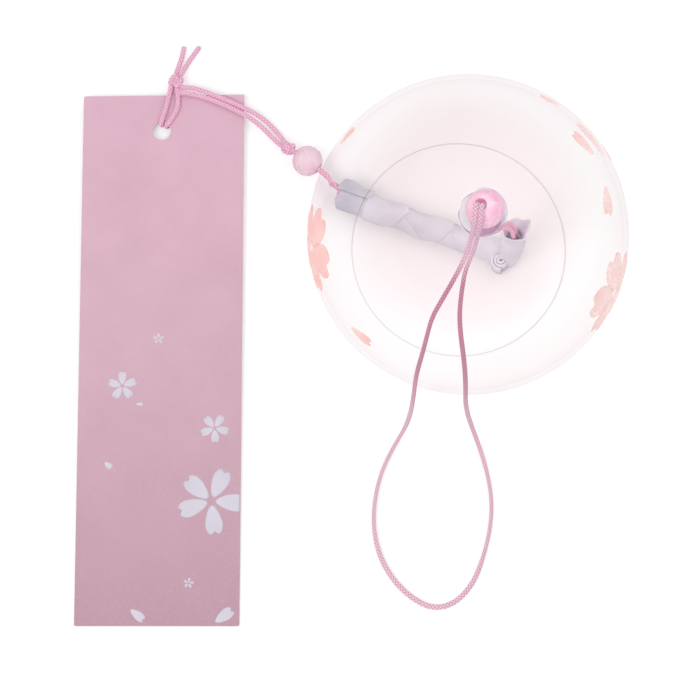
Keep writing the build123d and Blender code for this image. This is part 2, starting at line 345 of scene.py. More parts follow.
def makeLamp(name, settings):
    data = bpy.data.lights.new(name, "AREA")
    data.shape = "SQUARE"
    data.size = settings["size"]
    data.energy = settings["power"]
    lamp = addObject(name, data)
    lamp.location = settings["place"]
    lamp.visible_glossy = lamp.visible_transmission = False
    lamp.rotation_euler = (-Vector(settings["place"])).to_track_quat("-Z", "Y").to_euler()


def floorMaterial(settings):
    # white paper: lit as a diffuse sheet, with a share of plain white where the camera sees it,
    # straight or by way of glass
    material = bpy.data.materials.new("studioFloor")
    tree = emptyTree(material)
    path, reach = addNode(tree, "LightPath"), addNode(tree, "VectorMath")
    reach.operation = "LENGTH"
    feed(reach.inputs[0], read(addNode(tree, "TexCoord"), "Object"))
    direct = read(path, "Is Camera Ray") * mapRange(read(reach, "Value"), settings["floorFar"])
    bounced = (read(path, "Is Transmission Ray") + read(path, "Is Glossy Ray")).clamped()
    shown = addNode(tree, "Emission", Strength=bounced * settings["floorShare"] + direct)
    both = addNode(tree, "AddShader")
    feed(both.inputs[0], read(addNode(tree, "BsdfDiffuse", Color=settings["floorColor"])))
    feed(both.inputs[1], read(shown))
    addNode(tree, "OutputMaterial", Surface=read(both))
    return material


def makeFloor(settings):
    half, low = settings["floorSize"] / 2, -settings["floorDrop"]
    mesh = bpy.data.meshes.new("floor")
    corners = [(-half, -half, low), (half, -half, low), (half, half, low), (-half, half, low)]
    mesh.from_pydata(corners, [], [(0, 1, 2, 3)])
    mesh.materials.append(floorMaterial(settings))
    floor = addObject("floor", mesh)


bpy.context.scene.view_settings.view_transform = "Standard"
makeSky(studio)
for name in ("keyLamp", "fillLamp"):
    makeLamp(name, studio[name])
makeFloor(studio)
print("studio lit")

# Shader groups that more than one finish uses


def newGroup(name, inputs, outputs):
    # a group that takes one vector and some numbers, and gives numbers
    group = bpy.data.node_groups.new(name, "ShaderNodeTree")
    group.interface.new_socket("Vector", in_out="INPUT", socket_type="NodeSocketVector")
    for way, labels in (("INPUT", inputs), ("OUTPUT", outputs)):
        for label in labels:
            group.interface.new_socket(label, in_out=way, socket_type="NodeSocketFloat")
    return group, group.nodes.new("NodeGroupInput"), group.nodes.new("NodeGroupOutput")


def braidGroup():
    # two crossed sets of slanting plaits on UV, as tall as the product of their half waves
    numbers = ("Plaits Around", "Plaits Per Metre", "Fuzz")
    group, given, out = newGroup("braid", numbers, ("Height", "Groove", "Strand"))
    u, v, _ = axes(given, "Vector")
    around, along = u * read(given, "Plaits Around"), v * read(given, "Plaits Per Metre")
    rising, falling = along + around, along - around
    cell = abs((rising * pi).math("SINE")) * abs((falling * pi).math("SINE"))
    stretch = read(addNode(group, "CombineXYZ", X=rising * 2.6, Y=falling * 0.5))
    strand = read(addNode(group, "TexNoise", Vector=stretch, Scale=9.0, Detail=4.0), "Fac")
    fuzz = (strand - 0.5) * read(given, "Fuzz")
    feedNode(out, Height=cell ** 0.6 + fuzz, Groove=(1.0 - cell ** 0.7).clamped(), Strand=strand)
    return group


def grainGroup():
    # fine and coarse noise on Object coordinates, as one height and one mottle from 0 to 1
    group, given, out = newGroup("grain", ("Fine Scale", "Coarse Scale"), ("Height", "Mottle"))
    fine, coarse = (
        read(addNode(group, "TexNoise", Vector=read(given, "Vector"), Scale=read(given, label), Detail=detail), "Fac")
        for label, detail in (("Fine Scale", 3.0), ("Coarse Scale", 5.0))
    )
    feedNode(out, Height=fine + coarse * 0.6, Mottle=coarse)
    return group


braid = braidGroup()
grain = grainGroup()


def placeGroup(coords, label, group, **values):
    # a group fed with one of the object's own coordinates
    node = coords.id_data.nodes.new("ShaderNodeGroup")
    node.node_tree = group
    return feedNode(node, Vector=read(coords, label), **values)


def grainMarks(coords, fine, coarse):
    # mottle and bump height of the grain at two scales
    node = placeGroup(coords, "Object", grain, Fine_Scale=fine, Coarse_Scale=coarse)
    return read(node, "Mottle"), read(node, "Height")


def newMaterial(name):
    material = bpy.data.materials.new(name)
    material.use_nodes = True
    return material, material.node_tree.nodes["Principled BSDF"], addNode(material.node_tree, "TexCoord")


def setShader(shader, look, base, marks, height, paintedGlow=white):
    # roughness is a lowest value and what the marks add to it, bump its distance and strength, inputs the fixed ones
    (lowest, added), (distance, strength) = look["roughness"], look["bump"]
    bump = addNode(shader.id_data, "Bump", Strength=strength, Distance=distance, Height=height)
    feedNode(shader, Base_Color=base, Roughness=marks * added + lowest, Emission_Color=paintedGlow,
             Normal=read(bump, "Normal"), **look["inputs"])


def facingAngle(coords, blend):
    # from 0 where a surface faces the eye to 1 at its outline
    return read(addNode(coords.id_data, "LayerWeight", Blend=blend), "Facing")


print("shader groups built")

# Braided cord: flat soft braid of pale pink yarn

cordLook = {
    "width": 1.36,
    "thickness": 0.84,
    "crown": color(255, 222, 240),
    "yarn": color(255, 202, 227),
    "groove": color(220, 124, 168),
    "grooveShadeShare": 0.72,
    "roughness": (0.55, 0.25),
    "inputs": {"Specular_IOR_Level": 0.35, "Sheen_Weight": 0.35, "Sheen_Roughness": 0.4, "Emission_Strength": 0.1},
    "bandShade": color(226, 138, 172),
    "bandShadeGroove": color(150, 52, 88),
    "bandShadeSpan": (0.02, 0.0666),
    "bandShadeRise": (40.0, 400.0),
    "bandShadeShare": 0.7,
    "plaitsAround": 4.0,
    "plaitsPerMetre": 1080.0,
    "fuzz": 0.3,
    "bump": (0.00017, 1.0),
    "step": 0.22,
    "columns": 22,
}
loopLook = {**cordLook, "crown": color(255, 234, 245), "yarn": color(255, 210, 230), "groove": color(204, 108, 150)}


def cordMaterial(name, look, paintedShadeBand):
    # pale crowns and grooves darkened with painted shade; with the flag set, the cord also gets a band of painted
    # shade between two heights, fading in from the lower one
    material, shader, coords = newMaterial(name)
    weave = placeGroup(coords, "UV", braid, Plaits_Around=look["plaitsAround"],
                       Plaits_Per_Metre=look["plaitsPerMetre"], Fuzz=look["fuzz"])
    groove = read(weave, "Groove")
    yarn, deep = read(weave, "Strand").mix(look["crown"], look["yarn"]), look["groove"]
    if paintedShadeBand:
        height = axes(coords, "Object")[2]
        (low, high), (slow, fast) = look["bandShadeSpan"], look["bandShadeRise"]
        # painted shade: a darker band of the cord between the two heights
        bandShade = ((height - low) * slow).clamped() * ((high - height) * fast).clamped()
        yarn = (bandShade * look["bandShadeShare"]).mix(yarn, look["bandShade"])
        deep = bandShade.mix(deep, look["bandShadeGroove"])
    # painted shade in the grooves between the plaits
    shaded = (groove * look["grooveShadeShare"]).mix(yarn, deep)
    setShader(shader, look, shaded, groove, read(weave, "Height"), paintedGlow=shaded)  # painted glow in the cord's own shaded colour
    return material


pinkBraid = cordMaterial("pinkBraid", cordLook, False)
shadeBandBraid = cordMaterial("shadeBandBraid", loopLook, True)
bellMiddle = np.array((30.9, 24.9, 29.0)) * mm


def awayFromBell(line):
    # straight up on the table, turning to the direction away from the bell's middle higher up
    up = np.array((0.0, 0.0, 1.0))
    share = smooth(line[:, 2], 0.002, 0.03)[:, None]
    return unit(unit(line - bellMiddle) * share + up * (1 - share) + up * 1e-3)


def turned(upward, places, degrees):
    # the up direction swung about the line by the angle read off at each share of its length
    def swing(line):
        along, up = unit(np.gradient(line, axis=0)), upward(line)
        up = unit(up - along * np.sum(up * along, axis=1, keepdims=True))
        run = arcLength(line)
        angle = np.radians(np.interp(run / run[-1], places, degrees))[:, None]
        return up * np.cos(angle) + np.cross(along, up) * np.sin(angle)
    return swing


def alwaysSide(*direction):
    return lambda line: np.repeat(unit(np.array(direction))[None], len(line), axis=0)


def cordPiece(name, route, body, replaced, upward,
              width=cordLook["width"], thickness=cordLook["thickness"], material=pinkBraid):
    # flat braid carried along the route's spline, its outline rippled by the plaits
    line, at = evenLine(cordLine(route), cordLook["step"] * mm)
    wide, thick = width * mm / 2, thickness * mm / 2

    def radii(along, angle):
        around, plaits = angle / (2 * pi) * cordLook["plaitsAround"], along * cordLook["plaitsPerMetre"]
        cell = np.abs(np.sin(pi * (plaits + around)) * np.sin(pi * (plaits - around)))
        swell = 0.93 + 0.07 * cell ** 0.6
        return wide * swell, thick * swell

    sheet = sweptGrid(line, at, upward(line), radii, cordLook["columns"])
    piece = gridMesh(name, [sheet], body, material, replaced)
    tuple(mm * value for value in route[0])
    width * mm


loopRoute = [
    (33.57, 22.73, 75.72), (33.35, 20.7, 75.85), (33.1, 18.5, 74.3), (32.75, 17.0, 72.0), (32.2, 15.75, 69.5),
    (31.6, 14.0, 67.4), (30.4, 11.3, 66.0), (28.6, 8.0, 64.6), (25.0, 2.5, 61.5), (22.7, -0.9, 58.7),
    (21.5, -4.3, 55.3), (20.3, -7.7, 50.8), (18.3, -11.9, 42.0), (17.1, -16.0, 28.6), (15.8, -18.3, 17.0),
    (14.2, -20.0, 7.2), (11.2, -23.6, 0.8), (8.2, -29.4, 0.65), (6.3, -36.2, 0.65), (5.7, -43.6, 0.65),
    (7.0, -50.9, 0.65), (10.4, -57.4, 0.65), (15.2, -62.3, 0.65), (20.9, -65.2, 0.65), (26.4, -63.8, 0.65),
    (30.9, -59.0, 0.65), (33.6, -52.3, 0.65), (35.4, -45.0, 0.65), (35.9, -38.2, 0.65), (34.9, -31.3, 0.65),
    (33.1, -25.0, 0.8), (31.3, -20.3, 5.2), (30.2, -18.0, 14.4), (29.8, -16.3, 25.4), (30.1, -14.9, 36.2),
    (30.2, -12.4, 45.6), (29.9, -8.7, 51.9), (29.3, -4.1, 57.0), (29.2, 0.1, 60.3), (29.8, 4.4, 62.9),
    (30.6, 8.6, 64.9), (31.75, 11.3, 66.1), (32.9, 13.7, 67.5), (33.5, 15.45, 69.5), (34.07, 16.73, 72.0),
    (34.42, 18.23, 74.3), (34.67, 20.44, 75.85), (34.87, 22.46, 75.72),
]
loopTurns = (
    (0.0, 0.03, 0.12, 0.28, 0.35, 0.41, 0.45, 0.5, 0.54, 0.58, 0.64, 0.68, 0.75, 0.97, 1.0),
    (0.0, 50.0, 45.0, 20.0, 60.0, 52.0, 10.0, 0.0, 15.0, 64.0, 60.0, 25.0, 35.0, 50.0, 0.0),
)
neckInnerRoutes = {
    "left": [
        (33.84, 22.7, 74.53), (36.08, 22.53, 65.4), (33.84, 23.14, 61.4), (33.9, 23.4, 58.2),
        (33.93, 23.52, 51.9), (34.83, 24.22, 44.6), (38.13, 26.12, 37.9), (41.33, 27.42, 31.4),
        (42.47, 27.57, 24.2), (42.47, 27.57, 17.02),
    ],
    "right": [
        (35.09, 22.43, 74.84), (37.33, 22.26, 65.71), (35.1, 22.87, 61.71), (34.3, 22.7, 58.2),
        (33.47, 22.28, 51.9), (34.37, 22.98, 44.6), (37.67, 24.88, 37.9), (40.87, 26.18, 31.4),
        (42.01, 26.33, 24.2), (42.01, 26.33, 17.02),
    ],
}
clapperRoutes = {
    "left": [
        (42.47, 27.57, 16.98), (42.47, 27.57, 11.0), (42.23, 25.02, 3.3), (31.15, 29.08, 3.1),
        (18.0, 33.88, 3.4), (7.66, 37.65, 3.15), (0.85, 40.13, 3.3),
    ],
    "right": [
        (42.01, 26.33, 16.98), (42.01, 26.33, 11.0), (41.77, 23.78, 3.3), (30.69, 27.84, 3.1),
        (17.54, 32.64, 3.4), (7.2, 36.41, 3.15), (0.4, 38.89, 3.3),
    ],
}
pendantRoutes = {
    "upper": [
        (-1.74, 41.64, 4.05), (-3.5, 44.0, 3.95), (-7.37, 47.57, 4.67), (-14.23, 52.68, 4.67),
        (-16.14, 54.05, 3.4), (-17.3, 56.2, 1.7), (-19.5, 59.1, 1.2), (-22.6, 62.1, 1.8), (-25.95, 64.05, 2.75),
        (-29.85, 65.95, 2.85), (-33.55, 67.6, 2.85), (-37.75, 69.35, 2.85), (-41.2, 70.5, 2.7),
        (-44.4, 70.8, 2.3),
    ],
    "lower": [
        (-1.74, 41.64, 2.55), (-3.5, 44.0, 2.45), (-7.37, 47.57, 3.17), (-14.23, 52.68, 3.17),
        (-15.61, 53.65, 2.25), (-18.4, 55.1, 1.6), (-21.3, 58.2, 1.6), (-24.1, 60.85, 2.4),
        (-27.15, 62.95, 2.75), (-30.55, 64.75, 2.75), (-33.95, 66.35, 2.75), (-37.6, 67.8, 2.75),
        (-41.5, 68.85, 2.75), (-44.7, 69.4, 2.65),
    ],
}
legTailRoutes = {
    "left": [
        (-46.75, 71.1, 2.3), (-47.1, 69.0, 2.7), (-48.0, 65.2, 2.65), (-48.9, 62.5, 2.6), (-49.15, 61.6, 2.58),
        (-49.2, 60.95, 2.3), (-49.2, 60.8, 1.62), (-49.2, 60.95, 0.94), (-49.1, 61.6, 0.66),
        (-48.6, 62.8, 0.66), (-47.8, 65.9, 0.66), (-46.9, 69.3, 0.68), (-46.6, 71.1, 1.3), (-45.75, 74.0, 1.7),
        (-45.0, 76.5, 1.1), (-44.1, 79.3, 0.75), (-43.65, 82.0, 0.65),
    ],
    "right": [
        (-45.3, 71.1, 2.3), (-44.95, 69.0, 2.75), (-44.75, 65.6, 2.65), (-46.2, 62.7, 2.62),
        (-47.35, 61.15, 2.6), (-47.9, 60.5, 2.3), (-48.0, 60.38, 1.62), (-47.9, 60.5, 0.94),
        (-47.5, 61.15, 0.66), (-46.9, 62.9, 0.66), (-46.1, 66.0, 0.66), (-45.45, 69.3, 0.68),
        (-45.3, 71.1, 1.3), (-44.45, 74.0, 1.7), (-43.3, 76.4, 1.1), (-41.5, 79.3, 0.75), (-39.6, 82.0, 0.65),
    ],
}

cordPiece("hangingLoop", loopRoute, "hanger", ("hanging_loop",),
          turned(awayFromBell, *loopTurns), material=shadeBandBraid)
for side in ("left", "right"):
    cordPiece("innerCord_" + side, neckInnerRoutes[side], "bell", ("neck_strand_" + side, "inner_strand_" + side),
              alwaysSide(0.9, -0.4, 0.1), 1.2, 1.05)
    cordPiece("clapperCord_" + side, clapperRoutes[side], "clapper", ("clapper_strand_" + side,),
              alwaysSide(0.3, 0.2, 0.93), 1.2, 1.05)
    cordPiece("cardLeg_" + side, legTailRoutes[side], "pendant", ("card_leg_" + side, "card_tail_" + side),
              alwaysSide(0.35, 0.1, 0.93), 1.3, 0.95)
for level in ("upper", "lower"):
    cordPiece("cardCord_" + level, pendantRoutes[level], "pendant",
              ("pendant_strand_" + level, "card_strand_" + level), alwaysSide(0.0, 0.0, 1.0), 1.3, 1.0)
print("cords laid")

# Bell: one thin blown shell, drawn as a closed profile turned round its own leaning axis

bellFrame = {
    "origin": (27.87, 26.37, 3.42),
    "x": (0.45399, 0.891007, 0.0),
    "y": (-0.88386, 0.450349, 0.126404),
    "z": (0.112627, -0.057386, 0.991979),
}
bellShape = {
    "beltHeight": 26.5,
    "belt": 39.6,
    "mouth": 27.3,
    "crown": 5.6,
    "crownHeight": 62.5,
    "innerBelt": 38.3,
    "innerMouth": 26.1,
    "hole": 3.4,
    "innerCrownHeight": 61.1,
    "collarHeight": 64.6,
    "collarRound": 0.8,
    "collarFoot": 0.7,
    "holeRound": 0.35,
    "holeFoot": 0.3,
    "lipHeight": 0.45,
    "lipPoints": 9,
    "rimBand": 0.2,
    "columns": 384,
}
glassLook = {
    "facing": 0.35,
    "marks": (900.0, 22.0),
    "streak": 0.5,
    "thinFrom": 3.0,
    "thinFade": 3.0,
    "edgePower": 1.0,
    "crownStart": 0.055,
    "crownEnd": 0.065,
    "shadowPass": 0.7,
    "rayDepth": 5.5,
}
bellLook = {
    **glassLook,
    "tint": color(255, 254, 254),
    "edge": color(253, 243, 246),
    "edgePower": 3.0,
    "thinFrom": 0.5,
    "crownTintAndShade": color(249, 238, 240),
    "crownStart": 0.052,
    "crownEnd": 0.062,
    "rim": color(206, 200, 202),
    "rimRoughness": 0.4,
    "collarPaintedReflection": color(196, 200, 214),
    "collarMiddle": 0.0345,
    "collarFade": 160.0,
    "roughness": 0.012,
    "ior": 1.07,
    "shadowPass": 0.975,
}


def beltArc(belt, end, beltHeight, endHeight, count=60):
    # circle whose centre is level with the belt: c = (belt^2 - end^2 - rise^2) / 2 (belt - end)
    rise = endHeight - beltHeight
    centre = (belt ** 2 - end ** 2 - rise ** 2) / (2 * (belt - end))
    return arcRound((centre, beltHeight), belt - centre, 0.0, np.degrees(np.arctan2(rise, end - centre)), count)


def arcRound(centre, radius, first, last, count=9):
    # centre + radius (cos, sin) from the first angle to the last, in degrees
    angle = np.radians(np.linspace(first, last, count))
    return joined(centre[0] + radius * np.cos(angle), centre[1] + radius * np.sin(angle))


def bellProfile(shape):
    # rim, outer wall up, collar, hole down, inner wall down, back to the rim
    low, high, belt, innerBelt = (shape[key] for key in ("beltHeight", "crownHeight", "belt", "innerBelt"))
    mouth, innerMouth, crown, hole = (shape[key] for key in ("mouth", "innerMouth", "crown", "hole"))
    top, turn, foot = shape["collarHeight"], shape["collarRound"], shape["collarFoot"]
    innerTop, holeRound, holeFoot = shape["innerCrownHeight"], shape["holeRound"], shape["holeFoot"]
    outerLow, innerLow = beltArc(belt, mouth, low, 0.0, 44)[::-1], beltArc(innerBelt, innerMouth, low, 0.0, 44)
    outerLow, innerLow = (wall[wall[:, 1] > shape["lipHeight"]] for wall in (outerLow, innerLow))
    outerHigh = beltArc(belt, crown, low, high, 72)
    outerHigh = outerHigh[outerHigh[:, 0] > crown + foot + 0.1]
    innerHigh = beltArc(innerBelt, hole, low, innerTop, 72)[::-1]
    lip = bezier(innerLow[-1], (innerMouth - 0.1, 0.0), (mouth - 0.2, 0.0), outerLow[0], shape["lipPoints"] + 2)
    path = np.concatenate([
        lip[1:-1], outerLow, outerHigh[1:],
        arcRound((crown + foot, high + foot - 0.04), foot, 270, 180),
        arcRound((crown - turn, top - turn), turn, 0, 90),
        arcRound((hole + holeRound, top - holeRound), holeRound, 90, 180),
        arcRound((hole + holeFoot, innerTop + holeFoot), holeFoot, 180, 250, 5),
        innerHigh[1:], innerLow[1:],
    ])
    return np.concatenate([path, path[:1]])


def makeBell(shape, look):
    path = bellProfile(shape)
    azimuth = np.linspace(0.0, 2 * pi, shape["columns"] + 1)[None, :]
    run = arcLength(path)
    share = run / run[-1]
    collar = share[path[:, 1] > shape["crownHeight"] + 0.1]
    bands = (
        (float(share[shape["lipPoints"] - 1]), float(shape["rimBand"] / run[-1])),
        (float(collar.min() + collar.max()) / 2, float(collar.max() - collar.min()) / 2),
    )
    sheet = roundIn(bellFrame, path[:, :1], azimuth, path[:, 1:]), joined(azimuth / (2 * pi), share[:, None])
    gridMesh("glassBell", [sheet], "bell", glassMaterial("bellGlass", look, bands), ("glass_bell",))


def glassMaterial(name, look, bands=None):
    # clear glass, tinted where it is seen along its wall, in slow streaks and towards its crown, which also paints the
    # pink shade seen through the crown;
    # bands are the places in v, as middle and half width, of the ground rim, greyed with painted shade, and of the
    # collar's painted reflection
    material, shader, coords = newMaterial(name)
    facing = facingAngle(coords, look["facing"])
    mottle, _ = grainMarks(coords, *look["marks"])
    x, _, z = axes(coords, "Object")
    # on the bell, painted shade: the tint towards the crown stands in for light filtered through the glass onto what
    # lies inside
    rise = ((z - look["crownStart"]) * (1 / (look["crownEnd"] - look["crownStart"]))).clamped()
    body = (rise + (mottle - 0.5) * look["streak"]).clamped().mix(look["tint"], look["crownTintAndShade"])
    wall, rough = (facing ** look["edgePower"]).mix(body, look["edge"]), mottle * (2 * look["roughness"])
    if bands:
        v = axes(coords, "UV")[1]
        rim, ring = (abs(v - middle).math("LESS_THAN", half) for middle, half in bands)
        # painted reflection on the collar, white left of its middle and grey-blue right of it; painted grey shade on
        # the ground rim
        across = ((x - look["collarMiddle"]) * look["collarFade"] + 0.5).clamped()
        wall = rim.mix(ring.mix(wall, across.mix(white, look["collarPaintedReflection"])), look["rim"])
        rough = rough + rim * look["rimRoughness"]
    bend = ((look["thinFrom"] - facing) * look["thinFade"]).clamped()  # little where it is seen along its wall
    path = addNode(coords.id_data, "LightPath")
    veil = read(path, "Is Shadow Ray") * look["shadowPass"]
    trapped = read(path, "Ray Depth").math("GREATER_THAN", look["rayDepth"])  # lets out light held inside a wall
    feedNode(shader, Base_Color=wall, Transmission_Weight=1.0, Roughness=rough, IOR=bend * (look["ior"] - 1.0) + 1.0,
             Alpha=1.0 - veil.math("MAXIMUM", trapped))
    return material


makeBell(bellShape, bellLook)
print("bell blown")

# Petals printed on the bell and on the card: notched leaves with a narrow base

bellPetals = {
    "size": (10.6, 10.2),
    "notch": 1.5,
    "blossoms": [(123.5, 33.0, 54.0), (-87.5, 38.0, 55.0)],
    "gap": 0.7,
    "loose": [
        (-26.0, 43.2, 8.0, 11.2, 5.2), (-26.2, 48.6, 16.0, 7.6, 5.0), (-33.0, 33.0, -60.0, 7.0, 5.6),
        (161.5, 37.6, 15.0, 6.8, 4.8), (80.5, 38.0, 165.0, 5.6, 4.4), (-54.0, 49.0, 170.0, 7.6, 5.2),
        (-4.0, 43.0, 10.0, 6.0, 3.6),
    ],
    "lift": 0.1,
    "root": color(255, 214, 206),
    "tip": color(250, 176, 168),
    "marks": (1800.0, 260.0),
    "roughness": (0.3, 0.2),
    "bump": (0.00003, 1.0),
    "coverWithPaintedLight": (0.54, 0.33),
    "paintedLightSpan": (-0.01, 0.08),
    "inputs": {"Coat_Weight": 0.15, "Emission_Strength": 0.14},
}
cardPetals = {
    "notch": 0.14,
    "blossoms": [
        (-0.55, 73.69, 90.0, 0.2, 1.3, 0.85), (-9.67, 61.47, 92.0, 0.4, 3.5, 2.5),
        (14.25, 50.45, -86.0, 0.4, 3.5, 2.45), (8.07, 10.88, 80.0, 0.2, 1.2, 0.8),
    ],
    "large": (13.64, 31.75, (138.0, 66.0, -4.0, -83.0, 198.0), 1.1, 7.9, 5.35),
    "loose": [
        (-6.05, 56.7, 0.0, 1.9, 1.1), (-13.9, 41.8, -42.0, 2.5, 1.8), (-6.6, 4.2, -40.0, 4.6, 2.7),
        (15.0, 1.0, 36.0, 5.6, 3.5),
    ],
    "edge": 20.85,
    "face": 0.45,
    "lift": 0.035,
    "root": color(224, 219, 231),
    "tip": color(214, 208, 221),
    "marks": (1800.0, 260.0),
    "roughness": (0.5, 0.2),
    "bump": (0.00003, 1.0),
    "inputs": {"Coat_Weight": 0.0},
}
cardFrame = {
    "origin": (-49.25, -69.17, 0.0),
    "x": (0.99999, -0.004363, 0.0),
    "y": (0.004363, 0.999933, 0.010756),
    "z": (-0.000047, -0.010756, 0.999942),
}


def petalLeaf(direction, gap, length, width, notch, rows=9, columns=57):
    # outline x = w/2 sin a (0.8 + 0.28 cos a), y = l/2 (1 + cos a) less a narrow bell at the tip
    angle, t, middle = np.linspace(-pi, pi, columns), np.linspace(0.0, 1.0, rows), length * 0.55
    reach = np.concatenate([t, t[::-1]])[:, None]
    across = width / 2 * np.sin(angle) * (0.8 + 0.28 * np.cos(angle)) * reach
    outline = length / 2 * (1 + np.cos(angle)) - notch * np.exp(-((angle / 0.24) ** 2))
    along = middle + (outline - middle) * reach
    raised = np.concatenate([1 - t ** 6, np.full(rows, -0.2)])[:, None]
    uv = joined(across / width + 0.5, along / length)
    turn, along = radians(direction), along + gap
    return along * np.cos(turn) + across * np.sin(turn), along * np.sin(turn) - across * np.cos(turn), raised, uv


def leafOnBell(azimuth, height, leaf, shape, lift):
    # east on the leaf is azimuth times the radius there, north is arc length up the wall
    belt, middle = shape["belt"], shape["beltHeight"]
    low, high = beltArc(belt, shape["mouth"], middle, 0.0), beltArc(belt, shape["crown"], middle, shape["crownHeight"])
    wall = np.concatenate([low[::-1], high[1:]])
    run, slope = arcLength(wall), unit(np.gradient(wall, axis=0))
    east, north, raised, uv = leaf
    at = np.interp(height, wall[:, 1], run) + north
    radius, tall = np.interp(at, run, wall[:, 0]), np.interp(at, run, wall[:, 1])
    outward, upward = np.interp(at, run, slope[:, 1]), -np.interp(at, run, slope[:, 0])
    off = lift * (raised + 0.9)
    return roundIn(bellFrame, radius + off * outward, radians(azimuth) + east / radius, tall + off * upward), uv


def leafOnCard(x, y, leaf, petals):
    # straight onto the card's face, nothing past its right edge
    east, north, raised, uv = leaf
    across = np.minimum(x + east, petals["edge"])
    return placeIn(cardFrame, across, y + north, petals["face"] + petals["lift"] * (raised + 0.3)), uv


def petalMaterial(name, look):
    # paint between two colours from its root to its tip, with an uneven edge between them
    material, shader, coords = newMaterial(name)
    mottle, height = grainMarks(coords, *look["marks"])
    share = (axes(coords, "UV")[1] * 0.75 + (mottle - 0.5) * 0.9).clamped()
    paint = share.mix(look["root"], look["tip"])
    setShader(shader, look, paint, mottle, height)
    if "coverWithPaintedLight" in look:
        # thin paint lets daylight through, and it also has a painted glow in its own colour; it covers less from the
        # left blossom to the right ones, a painted light that makes the right blossoms paler
        (first, last), (start, span) = look["coverWithPaintedLight"], look["paintedLightSpan"]
        across = ((axes(coords, "Object")[0] - start) * (1 / span)).clamped()
        coverWithPaintedLight = (mottle - 0.5) * 0.35 + (across * (last - first) + first)
        feedNode(shader, Emission_Color=paint, Alpha=coverWithPaintedLight.clamped())
    return material


def fiveWays(first):
    # the directions of a blossom's leaves, 72 degrees apart
    return [first + 72 * number for number in range(5)]


def makeBellPetals(petals):
    notch, (length, width) = petals["notch"], petals["size"]
    leaves = [(azimuth, height, petalLeaf(direction, petals["gap"], length, width, notch))
              for azimuth, height, first in petals["blossoms"] for direction in fiveWays(first)]
    leaves += [(azimuth, height, petalLeaf(direction, -long / 2, long, wide, notch * long / length))
               for azimuth, height, direction, long, wide in petals["loose"]]
    sheets = [leafOnBell(*leaf, bellShape, petals["lift"]) for leaf in leaves]
    gridMesh("bellPetals", sheets, "bell", petalMaterial("petalPaint", petals))


def makeCardPetals(petals):
    notch, (x, y, directions, gap, long, wide) = petals["notch"], petals["large"]
    large = [(x, y, petalLeaf(direction, gap, long, wide, notch * long)) for direction in directions]
    small = [(x, y, petalLeaf(direction, gap, long, wide, notch * long, columns=41))
             for x, y, first, gap, long, wide in petals["blossoms"] for direction in fiveWays(first)]
    loose = [(x, y, petalLeaf(direction, 0.0, long, wide, notch * long))
             for x, y, direction, long, wide in petals["loose"]]
    sheets = [leafOnCard(*leaf, petals) for leaf in small + large + loose]
    gridMesh("cardPetals", sheets, "card", petalMaterial("cardInk", petals))


makeBellPetals(bellPetals)
makeCardPetals(cardPetals)
print("petals printed")

# Card: dyed paper, a little darker towards its lower end

cardLook = {
    "top": color(230, 188, 206),
    "middle": color(222, 183, 199),
    "low": color(198, 159, 174),
    "lowEnd": -0.069,
    "length": 0.138,
    "cloud": color(190, 150, 168),
    "cloudShare": 0.55,
    "fibre": color(232, 200, 214),
    "fibreShare": 0.8,
    "clouds": (2600.0, 75.0),
    "marks": (5200.0, 1500.0),
    "roughness": (0.62, 0.3),
    "bump": (0.00004, 1.0),
    "inputs": {"Specular_IOR_Level": 0.3},
}


def cardMaterial(look):
    # three colours from end to end, with darker clouds and paler flecks of fibre
    material, shader, coords = newMaterial("cardPaper")
    along = ((axes(coords, "Object")[1] - look["lowEnd"]) * (1 / look["length"])).clamped()
    lower, upper = (along * 2.0).clamped(), (along * 2.0 - 1.0).clamped()
    base = upper.mix(lower.mix(look["low"], look["middle"]), look["top"])
    (clouds, _), (fibres, height) = grainMarks(coords, *look["clouds"]), grainMarks(coords, *look["marks"])
    cloudy = ((clouds - 0.35).clamped() * look["cloudShare"]).mix(base, look["cloud"])
    paper = ((fibres - 0.5).clamped() * look["fibreShare"]).mix(cloudy, look["fibre"])
    setShader(shader, look, paper, fibres, height)
    return material


def dress(node, material):
    # a kept CAD node gets the finished material in each of its slots
    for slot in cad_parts[node].material_slots:
        slot.material = material


dress("paper_card", cardMaterial(cardLook))
print("card dyed")

# Beads: crackled pink glass, bored through

beadShape = {
    "top": {
        "centre": (35.487, 22.489, 70.506), "bore": (-0.238252, 0.017901, 0.971038),
        "radius": 4.6, "hole": 1.5, "edge": 0.12,
    },
    "lower": {
        "centre": (-10.9, 50.2, 3.92), "bore": (-0.801776, 0.597625, 0.0),
        "radius": 3.9, "hole": 1.3, "edge": 0.3,
    },
}
beadLook = {
    "glass": color(255, 224, 240),
    "deep": color(246, 166, 200),
    "rim": color(242, 164, 198),
    "crack": color(255, 238, 249),
    "paintedGlow": color(255, 176, 212),
    "cells": 330.0,
    "marks": (1200.0, 230.0),
    "facing": 0.4,
    "rimShare": 0.85,
    "crackShare": 0.45,
    "roughness": (0.12, 0.15),
    "bump": (0.00022, 0.7),
    "inputs": {
        "IOR": 1.5, "Transmission_Weight": 0.12, "Coat_Weight": 0.2, "Coat_Roughness": 0.08, "Emission_Strength": 0.13,
    },
}
paleBeadLook = {
    **beadLook,
    "glass": color(255, 240, 247),
    "deep": color(250, 206, 226),
    "rim": color(242, 182, 206),
    "crack": color(255, 246, 251),
    "paintedGlow": color(255, 206, 226),
    "cells": 340.0,
    "inputs": {**beadLook["inputs"], "Transmission_Weight": 0.3, "Emission_Strength": 0.06},
}


